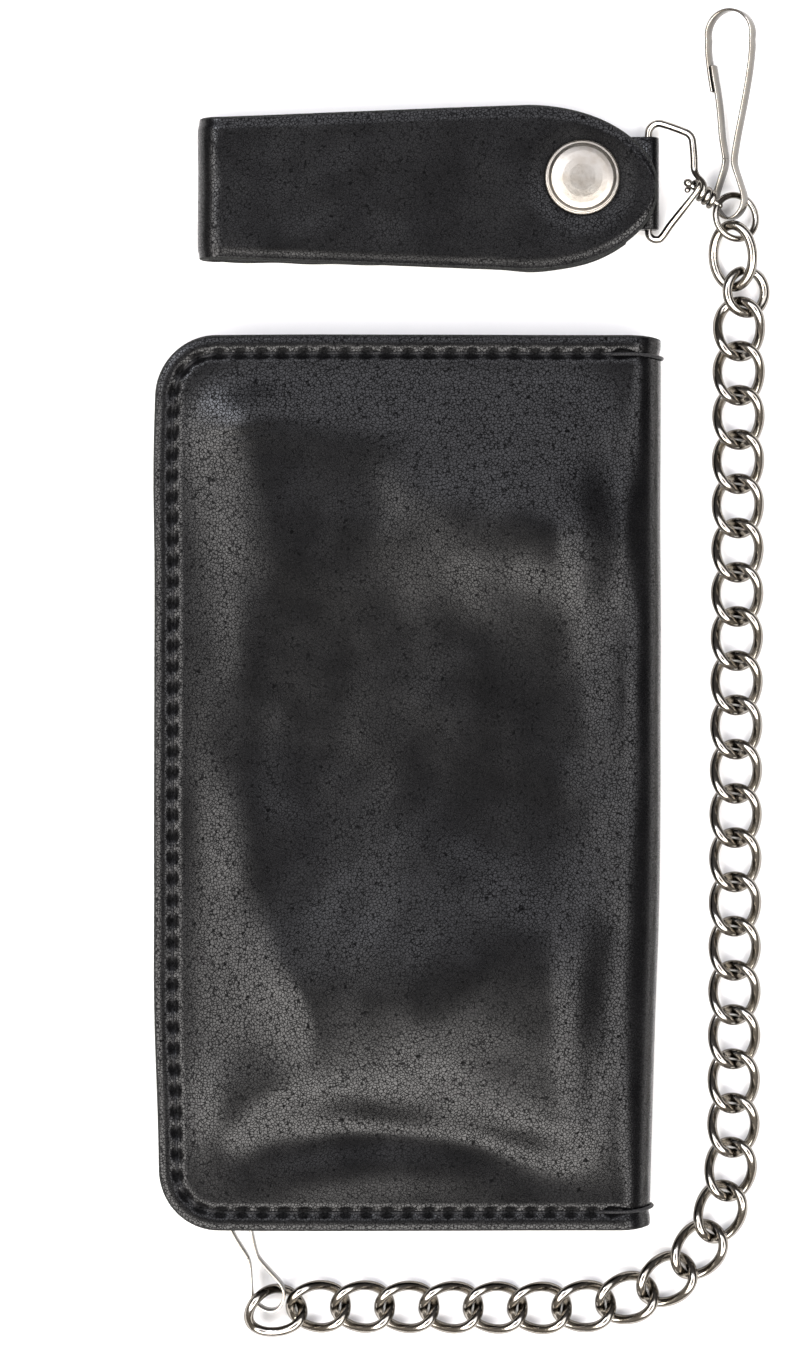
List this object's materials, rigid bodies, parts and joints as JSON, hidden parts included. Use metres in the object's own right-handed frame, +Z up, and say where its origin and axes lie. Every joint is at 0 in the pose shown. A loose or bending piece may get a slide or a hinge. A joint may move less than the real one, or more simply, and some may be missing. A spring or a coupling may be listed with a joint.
{
  "type": "chain wallet",
  "caption": "Long bifold leather wallet with a snap belt strap, hairpin spring clips and a curb chain that joins strap and wallet.",
  "frame": {"origin": "middle of the closed wallet's resting face, the underside of the front cover", "axes": "+X towards the spine, +Y towards the top edge where the strap lies, +Z up out of the surface that the wallet rests on"},
  "size_m": [0.1233, 0.2669, 0.015],
  "materials": {
    "leather": "black pebble-grained leather with a soft sheen",
    "lining": "thin smooth black lining leather, matt",
    "nickel": "bright nickel plate with fine wear",
    "spring_steel": "bright nickel-plated spring strip"
  },
  "bodies": {
    "front_half": {"front_cover": "leather", "spine_fold": "leather", "card_panel": "lining", "card_pockets": "lining", "closure_caps": "nickel", "closure_sockets": "nickel", "anchor_tab": "leather"},
    "back_half": {"back_cover": "leather", "bill_pocket": "lining", "closure_studs": "nickel", "closure_posts": "nickel"},
    "anchor_ring": {"anchor_ring": "nickel"},
    "lower_clip": {"lower_clip": "spring_steel"},
    "lower_clip_gate": {"lower_clip_gate": "spring_steel"},
    "open_link": {"open_link": "nickel"},
    "top_ring": {"top_ring": "nickel"},
    "swivel_loop": {"swivel_loop": "nickel"},
    "upper_clip": {"upper_clip": "spring_steel"},
    "upper_clip_gate": {"upper_clip_gate": "spring_steel"},
    "wire_ring": {"wire_ring": "nickel"},
    "strap_lower": {"strap_back": "leather", "ring_tab": "leather", "snap_stud": "nickel", "snap_post": "nickel"},
    "strap_upper": {"strap_front": "leather", "snap_cap": "nickel", "snap_socket": "nickel"},
    "chain_link_32": {"chain_link_32": "nickel"},
    "chain_link_31": {"chain_link_31": "nickel"},
    "chain_link_30": {"chain_link_30": "nickel"},
    "chain_link_29": {"chain_link_29": "nickel"},
    "chain_link_28": {"chain_link_28": "nickel"},
    "chain_link_27": {"chain_link_27": "nickel"},
    "chain_link_26": {"chain_link_26": "nickel"},
    "chain_link_25": {"chain_link_25": "nickel"},
    "chain_link_24": {"chain_link_24": "nickel"},
    "chain_link_23": {"chain_link_23": "nickel"},
    "chain_link_22": {"chain_link_22": "nickel"},
    "chain_link_21": {"chain_link_21": "nickel"},
    "chain_link_20": {"chain_link_20": "nickel"},
    "chain_link_19": {"chain_link_19": "nickel"},
    "chain_link_18": {"chain_link_18": "nickel"},
    "chain_link_17": {"chain_link_17": "nickel"},
    "chain_link_16": {"chain_link_16": "nickel"},
    "chain_link_15": {"chain_link_15": "nickel"},
    "chain_link_14": {"chain_link_14": "nickel"},
    "chain_link_13": {"chain_link_13": "nickel"},
    "chain_link_12": {"chain_link_12": "nickel"},
    "chain_link_11": {"chain_link_11": "nickel"},
    "chain_link_10": {"chain_link_10": "nickel"},
    "chain_link_09": {"chain_link_09": "nickel"},
    "chain_link_08": {"chain_link_08": "nickel"},
    "chain_link_07": {"chain_link_07": "nickel"},
    "chain_link_06": {"chain_link_06": "nickel"},
    "chain_link_05": {"chain_link_05": "nickel"},
    "chain_link_04": {"chain_link_04": "nickel"},
    "chain_link_03": {"chain_link_03": "nickel"},
    "chain_link_02": {"chain_link_02": "nickel"},
    "chain_link_01": {"chain_link_01": "nickel"}
  },
  "joints": [
    {"name": "back_cover_open", "type": "hinge", "parent": "front_half", "child": "back_half", "pos_m": [0.0505, 0, 0.011], "axis": [0, 1, 0], "range_deg": [0, 165]},
    {"name": "belt_flap_open", "type": "hinge", "parent": "strap_lower", "child": "strap_upper", "pos_m": [-0.0422, 0.1188, 0], "axis": [0, -1, 0], "range_deg": [0, 70]},
    {"name": "belt_strap_lift", "type": "hinge", "parent": "wire_ring", "child": "strap_lower", "pos_m": [0.0484, 0.1202, 0.0027], "axis": [0, 1, 0], "range_deg": [0, 40]},
    {"name": "belt_swivel", "type": "hinge", "parent": "swivel_loop", "child": "wire_ring", "pos_m": [0.0596, 0.1176, 0.0057], "axis": [0.8055, -0.5331, -0.2588], "range_deg": [-60, 60]},
    {"name": "clip_anchor_ring", "type": "hinge", "parent": "front_half", "child": "anchor_ring", "pos_m": [-0.04275, -0.0674, 0.004], "axis": [0.3859, -0.9225, 0], "range_deg": [0, 8]},
    {"name": "clip_lower_swing", "type": "hinge", "parent": "anchor_ring", "child": "lower_clip", "pos_m": [-0.04275, -0.0674, 0.0079], "axis": [0, 0, 1], "range_deg": [-5, 2]},
    {"name": "clip_lower_gate", "type": "hinge", "parent": "lower_clip", "child": "lower_clip_gate", "pos_m": [-0.03209, -0.09533, 0.00515], "axis": [0.0549, 0.117, -0.9916], "range_deg": [0, 12]},
    {"name": "clip_upper_gate", "type": "hinge", "parent": "upper_clip", "child": "upper_clip_gate", "pos_m": [0.06397, 0.12521, 0.00267], "axis": [0.4848, 0.0244, -0.8743], "range_deg": [0, 12]},
    {"name": "clip_upper_swing", "type": "hinge", "parent": "swivel_loop", "child": "upper_clip", "pos_m": [0.06754, 0.11741, 0.00235], "axis": [-0.433, 0.25, 0.866], "range_deg": [-40, 4]},
    {"name": "link_32", "type": "hinge", "parent": "lower_clip", "child": "chain_link_32", "pos_m": [-0.02721, -0.10453, 0.00434], "axis": [0.866, 0.5, 0], "range_deg": [0, 12]},
    {"name": "link_31", "type": "hinge", "parent": "chain_link_32", "child": "chain_link_31", "pos_m": [-0.02249, -0.10558, 0.0027], "axis": [0, 0, -1], "range_deg": [0, 15]},
    {"name": "link_30", "type": "hinge", "parent": "chain_link_31", "child": "chain_link_30", "pos_m": [-0.01359, -0.10564, 0.0027], "axis": [-0.007, -1, 0], "range_deg": [-35, 35]},
    {"name": "link_29", "type": "hinge", "parent": "chain_link_30", "child": "chain_link_29", "pos_m": [-0.00469, -0.1057, 0.0027], "axis": [0, 0, 1], "range_deg": [-20, 0]},
    {"name": "link_28", "type": "hinge", "parent": "chain_link_29", "child": "chain_link_28", "pos_m": [0.00421, -0.10577, 0.0027], "axis": [0.007, 1, 0], "range_deg": [-35, 35]},
    {"name": "link_27", "type": "hinge", "parent": "chain_link_28", "child": "chain_link_27", "pos_m": [0.01311, -0.10583, 0.0027], "axis": [0, 0, -1], "range_deg": [0, 20]},
    {"name": "link_26", "type": "hinge", "parent": "chain_link_27", "child": "chain_link_26", "pos_m": [0.02201, -0.10589, 0.0027], "axis": [0.007, 1, 0], "range_deg": [-20, 20]},
    {"name": "link_25", "type": "hinge", "parent": "chain_link_26", "child": "chain_link_25", "pos_m": [0.03091, -0.10595, 0.0027], "axis": [0, 0, 1], "range_deg": [-20, 0]},
    {"name": "link_24", "type": "hinge", "parent": "chain_link_25", "child": "chain_link_24", "pos_m": [0.03978, -0.10528, 0.0027], "axis": [0.2853, -0.9584, 0], "range_deg": [-20, 20]},
    {"name": "link_23", "type": "hinge", "parent": "chain_link_24", "child": "chain_link_23", "pos_m": [0.04831, -0.10274, 0.0027], "axis": [0, 0, -1], "range_deg": [0, 20]},
    {"name": "link_22", "type": "hinge", "parent": "chain_link_23", "child": "chain_link_22", "pos_m": [0.05574, -0.09784, 0.0027], "axis": [0.7888, -0.6147, 0], "range_deg": [-20, 20]},
    {"name": "link_21", "type": "hinge", "parent": "chain_link_22", "child": "chain_link_21", "pos_m": [0.06121, -0.09082, 0.0027], "axis": [0, 0, 1], "range_deg": [-20, 0]},
    {"name": "link_20", "type": "hinge", "parent": "chain_link_21", "child": "chain_link_20", "pos_m": [0.06432, -0.08248, 0.0027], "axis": [-0.9924, 0.123, 0], "range_deg": [-20, 20]},
    {"name": "link_19", "type": "hinge", "parent": "chain_link_20", "child": "chain_link_19", "pos_m": [0.06542, -0.07365, 0.0027], "axis": [0, 0, -1], "range_deg": [0, 20]},
    {"name": "link_18", "type": "hinge", "parent": "chain_link_19", "child": "chain_link_18", "pos_m": [0.06551, -0.06475, 0.0027], "axis": [-1, 0.007, 0], "range_deg": [-35, 35]},
    {"name": "link_17", "type": "hinge", "parent": "chain_link_18", "child": "chain_link_17", "pos_m": [0.06557, -0.05585, 0.0027], "axis": [0, 0, 1], "range_deg": [-20, 0]},
    {"name": "link_16", "type": "hinge", "parent": "chain_link_17", "child": "chain_link_16", "pos_m": [0.06564, -0.04695, 0.0027], "axis": [1, -0.007, 0], "range_deg": [-35, 35]},
    {"name": "link_15", "type": "hinge", "parent": "chain_link_16", "child": "chain_link_15", "pos_m": [0.0657, -0.03805, 0.0027], "axis": [0, 0, -1], "range_deg": [0, 20]},
    {"name": "link_14", "type": "hinge", "parent": "chain_link_15", "child": "chain_link_14", "pos_m": [0.06576, -0.02915, 0.0027], "axis": [1, -0.007, 0], "range_deg": [-35, 35]},
    {"name": "link_13", "type": "hinge", "parent": "chain_link_14", "child": "chain_link_13", "pos_m": [0.06582, -0.02025, 0.0027], "axis": [0, 0, 1], "range_deg": [-20, 0]},
    {"name": "link_12", "type": "hinge", "parent": "chain_link_13", "child": "chain_link_12", "pos_m": [0.06588, -0.01135, 0.0027], "axis": [-1, 0.007, 0], "range_deg": [-35, 35]},
    {"name": "link_11", "type": "hinge", "parent": "chain_link_12", "child": "chain_link_11", "pos_m": [0.06595, -0.00245, 0.0027], "axis": [0, 0, -1], "range_deg": [0, 20]},
    {"name": "link_10", "type": "hinge", "parent": "chain_link_11", "child": "chain_link_10", "pos_m": [0.06601, 0.00645, 0.0027], "axis": [-1, 0.007, 0], "range_deg": [-35, 35]},
    {"name": "link_09", "type": "hinge", "parent": "chain_link_10", "child": "chain_link_09", "pos_m": [0.06607, 0.01535, 0.0027], "axis": [0, 0, 1], "range_deg": [-20, 0]},
    {"name": "link_08", "type": "hinge", "parent": "chain_link_09", "child": "chain_link_08", "pos_m": [0.06613, 0.02425, 0.0027], "axis": [1, -0.007, 0], "range_deg": [-35, 35]},
    {"name": "link_07", "type": "hinge", "parent": "chain_link_08", "child": "chain_link_07", "pos_m": [0.0662, 0.03315, 0.0027], "axis": [0, 0, -1], "range_deg": [0, 20]},
    {"name": "link_06", "type": "hinge", "parent": "chain_link_07", "child": "chain_link_06", "pos_m": [0.06626, 0.04205, 0.0027], "axis": [1, -0.007, 0], "range_deg": [-35, 35]},
    {"name": "link_05", "type": "hinge", "parent": "chain_link_06", "child": "chain_link_05", "pos_m": [0.06632, 0.05095, 0.0027], "axis": [0, 0, 1], "range_deg": [-20, 0]},
    {"name": "link_04", "type": "hinge", "parent": "chain_link_05", "child": "chain_link_04", "pos_m": [0.06638, 0.05985, 0.0027], "axis": [-1, 0.007, 0], "range_deg": [-35, 35]},
    {"name": "link_03", "type": "hinge", "parent": "chain_link_04", "child": "chain_link_03", "pos_m": [0.06645, 0.06875, 0.0027], "axis": [0, 0, -1], "range_deg": [0, 20]},
    {"name": "link_02", "type": "hinge", "parent": "chain_link_03", "child": "chain_link_02", "pos_m": [0.06651, 0.07765, 0.0027], "axis": [-1, 0.007, 0], "range_deg": [-35, 35]},
    {"name": "link_01", "type": "hinge", "parent": "chain_link_02", "child": "chain_link_01", "pos_m": [0.06657, 0.08655, 0.0027], "axis": [0, 0, 1], "range_deg": [-20, 0]},
    {"name": "ring_open_link", "type": "hinge", "parent": "chain_link_01", "child": "open_link", "pos_m": [0.06664, 0.0966, 0.0027], "axis": [0.75, -0.433, 0.5], "range_deg": [-20, 25]},
    {"name": "ring_top", "type": "hinge", "parent": "open_link", "child": "top_ring", "pos_m": [0.06757, 0.1019, 0.00388], "axis": [0.866, 0.5, 0], "range_deg": [-15, 30]},
    {"name": "ring_loop", "type": "hinge", "parent": "top_ring", "child": "swivel_loop", "pos_m": [0.06362, 0.11132, 0.00387], "axis": [0.433, 0.25, 0.866], "range_deg": [-25, 5]}
  ]
}
